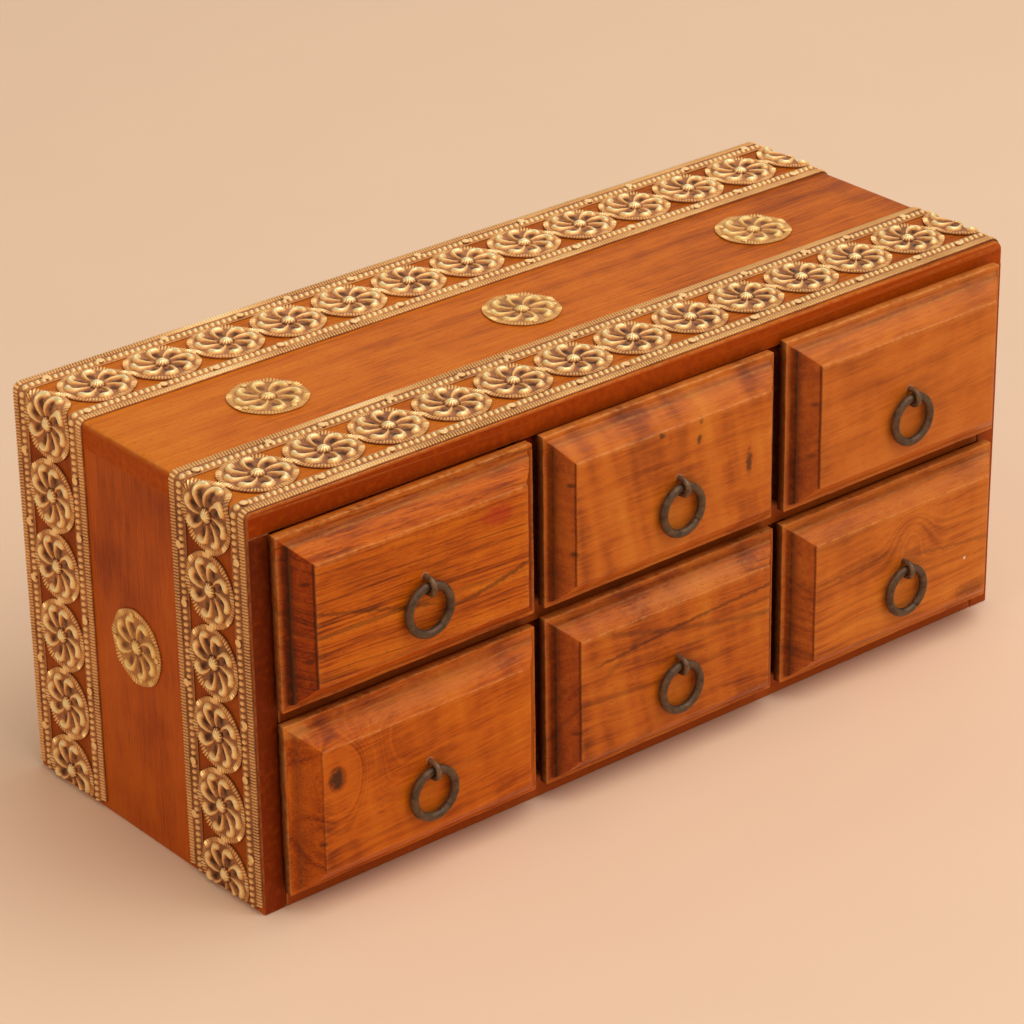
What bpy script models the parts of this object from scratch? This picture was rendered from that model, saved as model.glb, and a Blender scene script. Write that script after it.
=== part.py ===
# Small tabletop chest of six drawers: wooden boards, brass straps and medallions, ring pulls.
# The chest stands on Z = 0 with its length along X, and its drawers open towards -Y.

import math

import bmesh
import bpy
from mathutils import Matrix, Vector

MM = 0.001

# Carcass boards
CHEST_LENGTH = 254 * MM
CHEST_DEPTH = 99 * MM
CHEST_HEIGHT = 110.5 * MM
TOP_THICKNESS = 7 * MM
BOTTOM_THICKNESS = 6.5 * MM
SIDE_THICKNESS = 6.5 * MM
BACK_THICKNESS = 5 * MM
SHELF_THICKNESS = 6 * MM
DIVIDER_THICKNESS = 6 * MM
DIVIDER_SETBACK = 1.5 * MM
BOARD_EDGE = 0.4 * MM
TOP_END_RADIUS = 2 * MM
TOP_END_STEPS = 3
SEAM = 0.3 * MM

# Drawer boxes
DRAWER_SIDE_GAP = 0.5 * MM
DRAWER_TOP_GAP = 1 * MM
DRAWER_SIDE_THICKNESS = 4 * MM
DRAWER_BACK_THICKNESS = 4 * MM
DRAWER_BOTTOM_THICKNESS = 3 * MM
DRAWER_EDGE = 0.3 * MM

# Drawer fronts: the lip laps over the opening, then the moulding rises to a flat field
LIP_OVERLAP_SIDE = 1.3 * MM
LIP_OVERLAP_HEIGHT = 1.1 * MM
LIP_STANDOFF = 1.4 * MM
LIP_THICKNESS = 2.6 * MM
LIP_WIDTH = 1.7 * MM
QUIRK_WIDTH = 0.6 * MM
QUIRK_RISE = 1.6 * MM
SLOPE_WIDTH = 4.3 * MM
SLOPE_RISE = 3.9 * MM
SLOPE_BULGE = 0.35 * MM
SLOPE_STEPS = 3
FIELD_STEP_WIDTH = 0.2 * MM
FIELD_STEP_RISE = 0.8 * MM
TONGUE_DEPTH = 6 * MM

# Ring pulls: a staple through the front, clenched behind it, and a wire ring that hangs under its bow
EYE_ABOVE_CENTRE = 0.5 * MM
EYE_WIRE = 1.2 * MM
EYE_LEG_LENGTH = 6 * MM
EYE_BEND = 1.2 * MM
EYE_BOW_STEPS = 8
EYE_BEND_STEPS = 3
RING_DIAMETER = 15.2 * MM
RING_WIRE = 2.3 * MM
RING_PLAY = 0.3 * MM
RING_FIELD_GAP = 0.45 * MM
RING_STEPS = 20
RING_WIRE_STEPS = 8
HOLE_STEPS = 8

# Brass straps: a row of pinwheel rosettes between two rails, each a bead row beside a flat edging
ROSETTE_DIAMETER = 19.6 * MM
ROSETTE_GAP = 0.35 * MM
CORNER_ROSETTE_DROP = 5.7 * MM
ROSETTE_PETALS = 8
ROSETTE_SWIRL = math.radians(40)
HUB_DIAMETER = 4.4 * MM
HUB_HEIGHT = 1.7 * MM
PETAL_RING = 13 * MM
PETAL_HEIGHT = 1.4 * MM
RIM_HEIGHT = 0.6 * MM
ROSETTE_LIFT = 0.1 * MM
RAIL_LAP = 0.35 * MM
RAIL_THICKNESS = 0.8 * MM
BEAD_WIDTH = 2.6 * MM
BEAD_RISE = 0.4 * MM
BEAD_STEPS = 4
GROOVE_WIDTH = 0.3 * MM
GROOVE_DEPTH = 0.4 * MM
EDGING_WIDTH = 2.8 * MM
STRAP_EDGE_MARGIN = 0.4 * MM
STRAP_FOOT = 1.2 * MM

# Brass medallions
MEDALLION_DIAMETER = 20.5 * MM
TOP_MEDALLION_SHIFT = -1.5 * MM

ROW_NAMES = ("lower", "upper")
COLUMN_NAMES = ("left", "middle", "right")

# Sizes that follow from the ones above
OPENING_WIDTH = (CHEST_LENGTH - 2 * SIDE_THICKNESS
                 - (len(COLUMN_NAMES) - 1) * DIVIDER_THICKNESS) / len(COLUMN_NAMES)
OPENING_HEIGHT = (CHEST_HEIGHT - TOP_THICKNESS - BOTTOM_THICKNESS
                  - (len(ROW_NAMES) - 1) * SHELF_THICKNESS) / len(ROW_NAMES)
CARCASS_FRONT = -CHEST_DEPTH / 2
BACK_INNER = CHEST_DEPTH / 2 - BACK_THICKNESS
INNER_LENGTH = CHEST_LENGTH - 2 * SIDE_THICKNESS
LIP_BACK = CARCASS_FRONT - LIP_STANDOFF
MOULDING_RISE = QUIRK_RISE + SLOPE_RISE + FIELD_STEP_RISE
FIELD = LIP_BACK - LIP_THICKNESS - MOULDING_RISE
TONGUE_BACK = LIP_BACK + TONGUE_DEPTH
EYE_BOW_RADIUS = RING_WIRE / 2 + RING_PLAY + EYE_WIRE / 2
EYE_HOLE_RADIUS = EYE_WIRE / 2 + SEAM
RING_REACH = RING_WIRE / 2 + RING_FIELD_GAP
RING_RADIUS = (RING_DIAMETER - RING_WIRE) / 2
RAIL_START = ROSETTE_DIAMETER / 2 - RAIL_LAP
STRAP_HALF = RAIL_START + BEAD_WIDTH + GROOVE_WIDTH + EDGING_WIDTH
ROSETTE_PITCH = ROSETTE_DIAMETER + ROSETTE_GAP
STRAP_CENTRE = CHEST_DEPTH / 2 - STRAP_EDGE_MARGIN - STRAP_HALF


def collection(name):
    made = bpy.data.collections.new(name)
    bpy.context.scene.collection.children.link(made)
    return made


def material(name, colour, roughness, metallic):
    made = bpy.data.materials.new(name)
    made.use_nodes = True
    shader = made.node_tree.nodes["Principled BSDF"]
    shader.inputs["Base Color"].default_value = (*colour, 1)
    shader.inputs["Roughness"].default_value = roughness
    shader.inputs["Metallic"].default_value = metallic
    return made


def add_mesh(bm, name, finish, group, smooth_angle=None):
    mesh = bpy.data.meshes.new(name)
    bmesh.ops.recalc_face_normals(bm, faces=bm.faces)
    bm.to_mesh(mesh)
    bm.free()
    return add_object(mesh, name, finish, group, smooth_angle)


def add_object(mesh, name, finish, group, smooth_angle=None):
    made = bpy.data.objects.new(name, mesh)
    mesh.materials.clear()
    mesh.materials.append(finish)
    if smooth_angle is not None:
        mesh.shade_smooth()
        mesh.set_sharp_from_angle(angle=smooth_angle)
    group.objects.link(made)
    return made


def add_cutter(bm, name):
    made = add_mesh(bm, name, iron, cutters)
    made.hide_render = True
    made.display_type = "WIRE"
    return made


def add_boolean(target, other, operation):
    step = target.modifiers.new(operation.lower(), "BOOLEAN")
    step.operation = operation
    step.object = other
    return step


def evaluated_mesh(source, name):
    bpy.context.view_layer.update()
    graph = bpy.context.evaluated_depsgraph_get()
    mesh = bpy.data.meshes.new_from_object(source.evaluated_get(graph))
    mesh.name = name
    return mesh


def box_bmesh(size):
    bm = bmesh.new()
    bmesh.ops.create_cube(bm, size=1)
    bmesh.ops.scale(bm, vec=size, verts=bm.verts)
    return bm


def round_edges(bm, edges, radius, steps=1):
    bmesh.ops.bevel(bm, geom=edges, offset=radius, segments=steps, profile=0.5, affect="EDGES")


def add_board(name, low, high, finish, edge, parent=None):
    # A box between two corners, in its parent's frame, with every edge eased.
    low = Vector(low)
    high = Vector(high)
    bm = box_bmesh(high - low)
    if edge:
        round_edges(bm, bm.edges[:], edge)
    made = add_mesh(bm, name, finish, parts)
    made.parent = parent
    made.location = (low + high) / 2
    return made


# Carcass

def add_top_board():
    size = Vector((CHEST_LENGTH, CHEST_DEPTH, TOP_THICKNESS))
    bm = box_bmesh(size)
    end_edges = [e for e in bm.edges
                 if all(v.co.z > 0 for v in e.verts) and e.verts[0].co.x == e.verts[1].co.x]
    round_edges(bm, end_edges, TOP_END_RADIUS, TOP_END_STEPS)
    made = add_mesh(bm, "top_board", top_wood, parts)
    made.location = (0, 0, CHEST_HEIGHT - TOP_THICKNESS / 2)


def add_carcass():
    half_length = CHEST_LENGTH / 2
    inner = INNER_LENGTH / 2 - SEAM
    under_top = CHEST_HEIGHT - TOP_THICKNESS - SEAM
    back_face = CHEST_DEPTH / 2
    before_back = BACK_INNER - SEAM
    add_top_board()
    for name, side in (("left_side_board", -1), ("right_side_board", 1)):
        ends = sorted((side * half_length, side * INNER_LENGTH / 2))
        add_board(name, (ends[0], CARCASS_FRONT, 0), (ends[1], back_face, under_top),
                  side_wood, BOARD_EDGE)
    add_board("back_panel", (-inner, BACK_INNER, 0), (inner, back_face, under_top), inner_wood, BOARD_EDGE)
    add_board("bottom_board", (-inner, CARCASS_FRONT, 0), (inner, before_back, BOTTOM_THICKNESS),
              front_wood, BOARD_EDGE)
    shelf_base = BOTTOM_THICKNESS + OPENING_HEIGHT
    add_board("shelf", (-inner, CARCASS_FRONT, shelf_base),
              (inner, before_back, shelf_base + SHELF_THICKNESS), front_wood, BOARD_EDGE)
    for row_index, row in enumerate(ROW_NAMES):
        base = opening_base(row_index)
        for side_name, side in (("left", -1), ("right", 1)):
            x = side * (OPENING_WIDTH + DIVIDER_THICKNESS) / 2
            add_board(f"{row}_{side_name}_divider",
                      (x - DIVIDER_THICKNESS / 2, CARCASS_FRONT + DIVIDER_SETBACK, base + SEAM),
                      (x + DIVIDER_THICKNESS / 2, before_back, base + OPENING_HEIGHT - SEAM),
                      inner_wood, BOARD_EDGE)


def opening_base(row_index):
    return BOTTOM_THICKNESS + row_index * (OPENING_HEIGHT + SHELF_THICKNESS)


def opening_middle(column_index):
    return (column_index - (len(COLUMN_NAMES) - 1) / 2) * (OPENING_WIDTH + DIVIDER_THICKNESS)


# Drawers

def moulding_steps():
    # Inset and rise of each step of the moulding, from the lip's flat in to the field.
    steps = [(LIP_WIDTH, 0), (QUIRK_WIDTH, QUIRK_RISE)]
    last = (0, 0)
    for k in range(1, SLOPE_STEPS + 1):
        share = k / SLOPE_STEPS
        here = (SLOPE_WIDTH * share, SLOPE_RISE * share + SLOPE_BULGE * math.sin(math.pi * share))
        steps.append((here[0] - last[0], here[1] - last[1]))
        last = here
    steps.append((FIELD_STEP_WIDTH, FIELD_STEP_RISE))
    return steps


def add_drawer_front(name, parent):
    # The moulded slab, mitred by repeated insets of its front face.
    slab = Vector((OPENING_WIDTH + 2 * LIP_OVERLAP_SIDE, LIP_THICKNESS,
                   OPENING_HEIGHT + 2 * LIP_OVERLAP_HEIGHT))
    bm = box_bmesh(slab)
    bm.faces.ensure_lookup_table()
    face = min(bm.faces, key=lambda f: f.calc_center_median().y)
    for inset, rise in moulding_steps():
        bmesh.ops.inset_individual(bm, faces=[face], thickness=inset, use_even_offset=True)
        bmesh.ops.translate(bm, vec=(0, -rise, 0), verts=face.verts)
    made = add_mesh(bm, name, front_wood, parts)
    made.parent = parent
    made.location = (0, LIP_BACK - LIP_THICKNESS / 2, OPENING_HEIGHT / 2)

    # The tongue goes into the opening, and the drawer's sides lap its ends.
    width = drawer_width() - 2 * (DRAWER_SIDE_THICKNESS + SEAM)
    lap = LIP_THICKNESS / 2
    tongue = box_bmesh((width, TONGUE_DEPTH + lap, drawer_height()))
    cutter = add_cutter(tongue, name + "_tongue")
    cutter.parent = parent
    cutter.location = (0, LIP_BACK - lap + (TONGUE_DEPTH + lap) / 2, SEAM + drawer_height() / 2)
    add_boolean(made, cutter, "UNION")

    # One hole for each leg of the staple.
    for leg_name, side in (("upper", 1), ("lower", -1)):
        hole = bmesh.new()
        depth = 2 * (TONGUE_BACK - FIELD)
        bmesh.ops.create_cone(hole, cap_ends=True, segments=HOLE_STEPS, radius1=EYE_HOLE_RADIUS,
                              radius2=EYE_HOLE_RADIUS, depth=depth,
                              matrix=Matrix.Rotation(math.pi / 2, 4, "X"))
        cutter = add_cutter(hole, f"{name}_{leg_name}_hole")
        cutter.parent = parent
        cutter.location = (0, (TONGUE_BACK + FIELD) / 2, eye_height() + side * EYE_BOW_RADIUS)
        add_boolean(made, cutter, "DIFFERENCE")


def drawer_width():
    return OPENING_WIDTH - 2 * DRAWER_SIDE_GAP


def drawer_height():
    return OPENING_HEIGHT - DRAWER_TOP_GAP - SEAM


def eye_height():
    return OPENING_HEIGHT / 2 + EYE_ABOVE_CENTRE


def add_drawer_box(name, parent):
    half = drawer_width() / 2
    base = SEAM
    top = base + drawer_height()
    back = BACK_INNER - SEAM
    inside = half - DRAWER_SIDE_THICKNESS - SEAM
    for side_name, side in (("left", -1), ("right", 1)):
        ends = sorted((side * half, side * (half - DRAWER_SIDE_THICKNESS)))
        add_board(f"{name}_{side_name}_side", (ends[0], LIP_BACK + SEAM, base), (ends[1], back, top),
                  inner_wood, DRAWER_EDGE, parent)
    inner_back = back - DRAWER_BACK_THICKNESS
    add_board(f"{name}_back", (-inside, inner_back, base), (inside, back, top),
              inner_wood, DRAWER_EDGE, parent)
    add_board(f"{name}_bottom", (-inside, TONGUE_BACK + SEAM, base),
              (inside, inner_back - SEAM, base + DRAWER_BOTTOM_THICKNESS),
              inner_wood, 0, parent)


def arc_points(centre, radius, start, end, steps):
    # Points (y, z) on an arc, from one angle to the other.
    angles = [start + (end - start) * k / steps for k in range(steps + 1)]
    return [(centre[0] + radius * math.cos(a), centre[1] + radius * math.sin(a)) for a in angles]


def eye_route():
    # One wire in the YZ plane, about the bow's centre: clenched end, bend, leg, bow, leg, bend, end.
    bow = arc_points((0, 0), EYE_BOW_RADIUS, math.pi / 2, 3 * math.pi / 2, EYE_BOW_STEPS)
    bend_y = RING_REACH + (TONGUE_BACK - FIELD) + SEAM + EYE_WIRE / 2 - EYE_BEND
    corner = (bend_y, EYE_BOW_RADIUS + EYE_BEND)
    bend = arc_points(corner, EYE_BEND, 0, -math.pi / 2, EYE_BEND_STEPS)
    leg = [(bend_y + EYE_BEND, EYE_BOW_RADIUS + EYE_LEG_LENGTH)] + bend
    return leg + bow + [(y, -z) for y, z in reversed(leg)]


def add_eye(name, parent):
    curve = bpy.data.curves.new(name + "_wire", "CURVE")
    curve.dimensions = "3D"
    curve.bevel_depth = EYE_WIRE / 2
    curve.bevel_resolution = 1
    curve.use_fill_caps = True
    spline = curve.splines.new("POLY")
    route = eye_route()
    spline.points.add(len(route) - 1)
    for point, (y, z) in zip(spline.points, route):
        point.co = (0, y, z, 1)
    made = bpy.data.objects.new(name, curve)
    curve.materials.append(iron)
    made.parent = parent
    made.location = (0, FIELD - RING_REACH, eye_height())
    parts.objects.link(made)


def add_ring(name, parent):
    # The ring turns about its own wire at the top, where the staple holds it.
    bpy.ops.mesh.primitive_torus_add(major_radius=RING_RADIUS, minor_radius=RING_WIRE / 2,
                                     major_segments=RING_STEPS, minor_segments=RING_WIRE_STEPS)
    made = bpy.context.object
    made.name = name
    made.data.name = name
    made.data.transform(Matrix.Translation((0, 0, -RING_RADIUS)) @ Matrix.Rotation(math.pi / 2, 4, "X"))
    made.data.materials.append(iron)
    made.data.shade_smooth()
    for group in made.users_collection:
        group.objects.unlink(made)
    parts.objects.link(made)
    made.parent = parent
    made.location = (0, FIELD - RING_REACH, eye_height())


def add_drawers():
    for row_index, row in enumerate(ROW_NAMES):
        for column_index, column in enumerate(COLUMN_NAMES):
            name = f"{row}_{column}_drawer"
            slide = bpy.data.objects.new(name + "_slide", None)
            slide.location = (opening_middle(column_index), 0, opening_base(row_index))
            parts.objects.link(slide)
            add_drawer_front(name + "_front", slide)
            add_drawer_box(name, slide)
            add_eye(name + "_eye", slide)
            add_ring(name + "_ring", slide)


# Brass

def rosette_bmesh(diameter, centre=(0, 0), lift=0):
    # A pinwheel: a hub, a ring of ridges and hollows swung round by the swirl, and a flat rim.
    bm = bmesh.new()
    count = 2 * ROSETTE_PETALS
    low = RIM_HEIGHT

    def circle(radius, heights, swing):
        made = []
        for k in range(count):
            angle = swing - 2 * math.pi * k / count
            made.append(bm.verts.new((centre[0] + radius * math.cos(angle),
                                      centre[1] + radius * math.sin(angle), heights[k % 2])))
        return made

    hub = bm.verts.new((centre[0], centre[1], HUB_HEIGHT))
    rings = [circle(HUB_DIAMETER / 2, (low, low), ROSETTE_SWIRL),
             circle(PETAL_RING / 2, (PETAL_HEIGHT, low), ROSETTE_SWIRL / 2),
             circle(diameter / 2, (low, low), 0),
             circle(diameter / 2, (lift, lift), 0)]
    for k in range(count):
        after = (k + 1) % count
        bm.faces.new((hub, rings[0][k], rings[0][after]))
        for inner, outer in zip(rings, rings[1:]):
            bm.faces.new((inner[k], outer[k], outer[after], inner[after]))
    bm.faces.new(list(reversed(rings[-1])))
    bmesh.ops.triangulate(bm, faces=bm.faces[:], quad_method="FIXED")
    return bm


def rail_bmesh(side, start, end):
    # A rail's section: a low half-round bead, a groove and a flat edging, drawn out along the strap.
    section = [(RAIL_START, 0), (RAIL_START, RAIL_THICKNESS)]
    for k in range(1, BEAD_STEPS):
        turn = math.pi * k / BEAD_STEPS
        section.append((RAIL_START + BEAD_WIDTH / 2 * (1 - math.cos(turn)),
                        RAIL_THICKNESS + BEAD_RISE * math.sin(turn)))
    groove = RAIL_START + BEAD_WIDTH
    section += [(groove, RAIL_THICKNESS - GROOVE_DEPTH), (groove + GROOVE_WIDTH, RAIL_THICKNESS),
                (STRAP_HALF, RAIL_THICKNESS), (STRAP_HALF, 0)]
    bm = bmesh.new()
    face = bm.faces.new([bm.verts.new((start, side * w, h)) for w, h in section])
    grown = bmesh.ops.extrude_face_region(bm, geom=[face])
    bmesh.ops.translate(bm, vec=(end - start, 0, 0),
                        verts=[v for v in grown["geom"] if isinstance(v, bmesh.types.BMVert)])
    return bm


def strap_lengths():
    # Where the strap's flat length meets the two bends: side, bend, top, bend, side.
    bend = TOP_END_RADIUS * math.pi / 2
    rise = CHEST_HEIGHT - TOP_END_RADIUS
    across = CHEST_LENGTH - 2 * TOP_END_RADIUS
    return rise, rise + bend, rise + bend + across, rise + 2 * bend + across


def strap_point(along, height):
    # From a length along the strap and a height above the wood to a place in the XZ plane.
    bend_1, top_start, top_end, bend_2 = strap_lengths()
    half = CHEST_LENGTH / 2
    corner_x = half - TOP_END_RADIUS
    corner_z = CHEST_HEIGHT - TOP_END_RADIUS
    lift = SEAM + height
    radius = TOP_END_RADIUS + lift
    if along <= bend_1:
        return -half - lift, along
    if along < top_start:
        turn = (along - bend_1) / TOP_END_RADIUS
        return -corner_x - radius * math.cos(turn), corner_z + radius * math.sin(turn)
    if along <= top_end:
        return -corner_x + along - top_start, CHEST_HEIGHT + lift
    if along < bend_2:
        turn = (along - top_end) / TOP_END_RADIUS
        return corner_x + radius * math.sin(turn), corner_z + radius * math.cos(turn)
    return half + lift, corner_z - (along - bend_2)


def add_strap(name, centre_y):
    bend_1, top_start, top_end, bend_2 = strap_lengths()
    start = STRAP_FOOT
    end = bend_2 + CHEST_HEIGHT - TOP_END_RADIUS - STRAP_FOOT
    pieces = [rail_bmesh(side, start, end) for side in (-1, 1)]
    first = (CHEST_HEIGHT - CORNER_ROSETTE_DROP) % ROSETTE_PITCH
    count = math.ceil((end - first) / ROSETTE_PITCH)
    pieces += [rosette_bmesh(ROSETTE_DIAMETER, (first + k * ROSETTE_PITCH, 0), ROSETTE_LIFT)
               for k in range(count)]
    flats = [add_mesh(bm, f"{name}_flat_{k}", brass, cutters) for k, bm in enumerate(pieces)]
    whole = flats[0]
    for other in flats[1:]:
        add_boolean(whole, other, "UNION")
    ends = box_bmesh((end - start, 4 * STRAP_HALF, 4 * HUB_HEIGHT))
    bmesh.ops.translate(ends, vec=((start + end) / 2, 0, 0), verts=ends.verts)
    limits = add_mesh(ends, name + "_limits", brass, cutters)
    add_boolean(whole, limits, "INTERSECT")
    mesh = evaluated_mesh(whole, name)
    for spare in flats + [limits]:
        bpy.data.objects.remove(spare)

    # Cut lines across the bends, then every point goes round the top board's ends.
    bm = bmesh.new()
    bm.from_mesh(mesh)
    for low, high in ((bend_1, top_start), (top_end, bend_2)):
        for k in range(TOP_END_STEPS + 1):
            place = low + (high - low) * k / TOP_END_STEPS
            bmesh.ops.bisect_plane(bm, geom=bm.verts[:] + bm.edges[:] + bm.faces[:],
                                   plane_co=(place, 0, 0), plane_no=(1, 0, 0))
    for vert in bm.verts:
        x, z = strap_point(vert.co.x, vert.co.z)
        vert.co = (x, vert.co.y, z)
    bm.to_mesh(mesh)
    bm.free()
    made = add_object(mesh, name, brass, parts)
    made.location = (0, centre_y, 0)


def add_medallion(name, place, turn):
    made = add_mesh(rosette_bmesh(MEDALLION_DIAMETER), name, brass, parts)
    made.location = place
    made.rotation_euler = (0, turn, 0)


def add_brass():
    add_strap("front_brass_strap", -STRAP_CENTRE)
    add_strap("rear_brass_strap", STRAP_CENTRE)
    for k, column in enumerate(COLUMN_NAMES):
        x = opening_middle(k) + TOP_MEDALLION_SHIFT
        add_medallion(f"top_{column}_medallion", (x, 0, CHEST_HEIGHT + SEAM), 0)
    out = CHEST_LENGTH / 2 + SEAM
    add_medallion("left_side_medallion", (-out, 0, CHEST_HEIGHT / 2), -math.pi / 2)
    add_medallion("right_side_medallion", (out, 0, CHEST_HEIGHT / 2), math.pi / 2)


for old in list(bpy.data.objects):
    bpy.data.objects.remove(old)
parts = collection("six_drawer_chest")
cutters = collection("cutters")
top_wood = material("top wood", (0.50, 0.17, 0.04), 0.4, 0)
side_wood = material("side wood", (0.25, 0.07, 0.02), 0.45, 0)
front_wood = material("front wood", (0.40, 0.11, 0.02), 0.4, 0)
inner_wood = material("inner wood", (0.30, 0.13, 0.05), 0.7, 0)
brass = material("aged brass", (0.52, 0.33, 0.12), 0.35, 1)
iron = material("dark iron", (0.08, 0.05, 0.03), 0.45, 0.8)
add_carcass()
add_drawers()
add_brass()
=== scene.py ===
import bpy
import numpy as np
from mathutils import Matrix, Vector
from types import SimpleNamespace as Values


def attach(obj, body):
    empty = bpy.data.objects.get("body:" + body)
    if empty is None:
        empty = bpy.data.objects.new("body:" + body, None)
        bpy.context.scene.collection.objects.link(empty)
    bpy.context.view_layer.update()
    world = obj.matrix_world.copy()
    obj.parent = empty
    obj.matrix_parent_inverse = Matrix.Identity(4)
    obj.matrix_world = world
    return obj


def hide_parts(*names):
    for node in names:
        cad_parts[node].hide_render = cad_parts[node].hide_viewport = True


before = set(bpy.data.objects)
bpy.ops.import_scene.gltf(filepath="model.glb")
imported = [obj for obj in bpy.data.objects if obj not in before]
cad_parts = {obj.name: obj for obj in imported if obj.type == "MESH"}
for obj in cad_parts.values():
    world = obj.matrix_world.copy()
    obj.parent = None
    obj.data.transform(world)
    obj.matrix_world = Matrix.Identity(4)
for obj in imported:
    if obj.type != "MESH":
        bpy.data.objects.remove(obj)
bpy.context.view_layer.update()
mm = 0.001  # every shape below is worked out in millimetres
scene = bpy.context.scene
scene.view_settings.view_transform = "Standard"
join = np.concatenate

chest = Values(
    length=254, depth=99, height=110.5, topBoard=7, sideBoard=6.5, bottomBoard=6.5, backBoard=5, shelf=6,
    openingWidth=76.333, openingHeight=45.5, divider=6, seam=0.3)
halfLong, halfDeep, chestTop = chest.length / 2, chest.depth / 2, chest.height
leftBend, rightBend = 1.6, 2.8  # corner radii at the two ends of the top board
columnPitch = chest.openingWidth + chest.divider
columnNames = ("left", "middle", "right")
rowNames = ("lower", "upper")
woodCrease, brassCrease = 35, 50  # edges that turn by more degrees than this stay sharp


# Surfaces on grids: a shell is its points, quads, end triangles and marks

def bell(value, centre, width):
    # 1 at the centre, falling off as e to the minus square of the distance in widths
    return np.exp(-((value - centre) / width) ** 2)


def unit(value):
    # held between 0 and 1
    return np.clip(value, 0, 1)


def circle(count):
    # even angles, once round
    return np.linspace(0, 2 * np.pi, count, endpoint=False)


def ripple(u, v, seed):
    # slow unevenness between -1 and 1: the mean of four sine waves whose slants follow the seed
    total = 0
    for k in range(4):
        slant = np.sin(seed * 12.9 + k * 4.7)
        total += np.sin(u * (0.7 + 0.45 * k) + v * (0.5 + k * 0.6) * slant + seed * 2.3 + k * 1.9)
    return total / 4


def gridFaces(rows, cols, closeRows=False):
    # quads between neighbouring points of a grid whose columns run round
    i = np.arange(rows if closeRows else rows - 1)[:, None]
    j = np.arange(cols)[None, :]
    i2, j2 = (i + 1) % rows, (j + 1) % cols
    return np.stack([i * cols + j, i * cols + j2, i2 * cols + j2, i2 * cols + j], -1).reshape(-1, 4)


def faceOut(points, quads, caps, marks):
    # turns the faces round where they enclose a negative volume
    tris = join([quads[:, [0, 1, 2]], quads[:, [0, 2, 3]], caps])
    a, b, c = points[tris].transpose(1, 0, 2)
    turn = -1 if (a * np.cross(b, c)).sum() < 0 else 1
    return points, quads[:, ::turn], caps[:, ::turn], marks


def closedShell(grid, **marks):
    # rows of points that run round, closed at both ends by a middle point; marks are values on the grid
    rows, cols = grid.shape[:2]
    points = join([grid.reshape(-1, 3), grid[:1].mean(1), grid[-1:].mean(1)])
    j = np.arange(cols)
    j2 = (j + 1) % cols
    last = (rows - 1) * cols
    pole = np.full(cols, rows * cols)
    caps = join([np.stack([j2, j, pole], -1), np.stack([last + j, last + j2, pole + 1], -1)])
    for key, values in marks.items():
        values = np.broadcast_to(values, (rows, cols))
        marks[key] = join([values.ravel(), [values[0].mean()], [values[-1].mean()]])
    return faceOut(points, gridFaces(rows, cols), caps, marks)


def ringShell(grid):
    # a grid that closes on itself both ways
    quads = gridFaces(*grid.shape[:2], closeRows=True)
    return faceOut(grid.reshape(-1, 3), quads, np.zeros((0, 3), int), {})


def joinShells(shells):
    # several shells in one; a mark that a shell lacks is 0 there
    points, quads, caps, marks = zip(*shells)
    counts = [len(p) for p in points]
    first = np.cumsum([0] + counts)
    quads, caps = (join([f + n for f, n in zip(faces, first)]) for faces in (quads, caps))
    marks = {key: join([m.get(key, np.zeros(n)) for m, n in zip(marks, counts)]) for key in marks[0]}
    return join(points), quads, caps, marks


def makePiece(name, shell, finish, body, replaced, crease=woodCrease):
    points, quads, caps, marks = shell
    mesh = bpy.data.meshes.new(name)
    mesh.vertices.add(len(points))
    mesh.vertices.foreach_set("co", (points * mm).astype(np.float32).ravel())
    corners = join([quads.ravel(), caps.ravel()])
    mesh.loops.add(len(corners))
    mesh.loops.foreach_set("vertex_index", corners.astype(np.int32))
    mesh.polygons.add(len(quads) + len(caps))
    starts = join([np.arange(len(quads)) * 4, quads.size + np.arange(len(caps)) * 3])
    mesh.polygons.foreach_set("loop_start", starts.astype(np.int32))
    mesh.update(calc_edges=True)
    mesh.validate()
    for key, values in marks.items():
        attribute = mesh.attributes.new(key, "FLOAT", "POINT")
        attribute.data.foreach_set("value", values.astype(np.float32))
    mesh.shade_smooth()
    mesh.set_sharp_from_angle(angle=np.radians(crease))
    mesh.materials.append(finish)
    piece = bpy.data.objects.new(name, mesh)
    scene.collection.objects.link(piece)
    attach(piece, body)
    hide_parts(*replaced)


def dress(node, finish):
    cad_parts[node].material_slots[0].material = finish


def rectangleColumns(perArc, perSide):
    # points round a rectangle with round corners: shares of both half sizes, direction out, corner number
    turn = np.linspace(0, np.pi / 2, perArc)
    step = np.linspace(0, 1, perSide + 2)[1:-1]
    signs = np.array([(1, 1), (-1, 1), (-1, -1), (1, -1)], float)
    parts = []
    for k in range(4):
        here, ahead = signs[k][:, None], signs[(k + 1) % 4][:, None]
        out = np.stack([np.cos(turn + k * np.pi / 2), np.sin(turn + k * np.pi / 2)])
        parts.append(join([here + 0 * turn, out, [0 * turn + k]]))
        parts.append(join([here + (ahead - here) * step, out[:, -1:] + 0 * step, [k + step]]))
    return join(parts, 1)


def rectangleRows(columns, halfA, halfB, radius):
    # one rectangle a row, in two coordinates: a share of the half size less the corner, plus the arc
    shareA, shareB, dirA, dirB = columns[:4]
    return shareA * (halfA - radius) + dirA * radius, shareB * (halfB - radius) + dirB * radius


# Shader nodes

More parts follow.
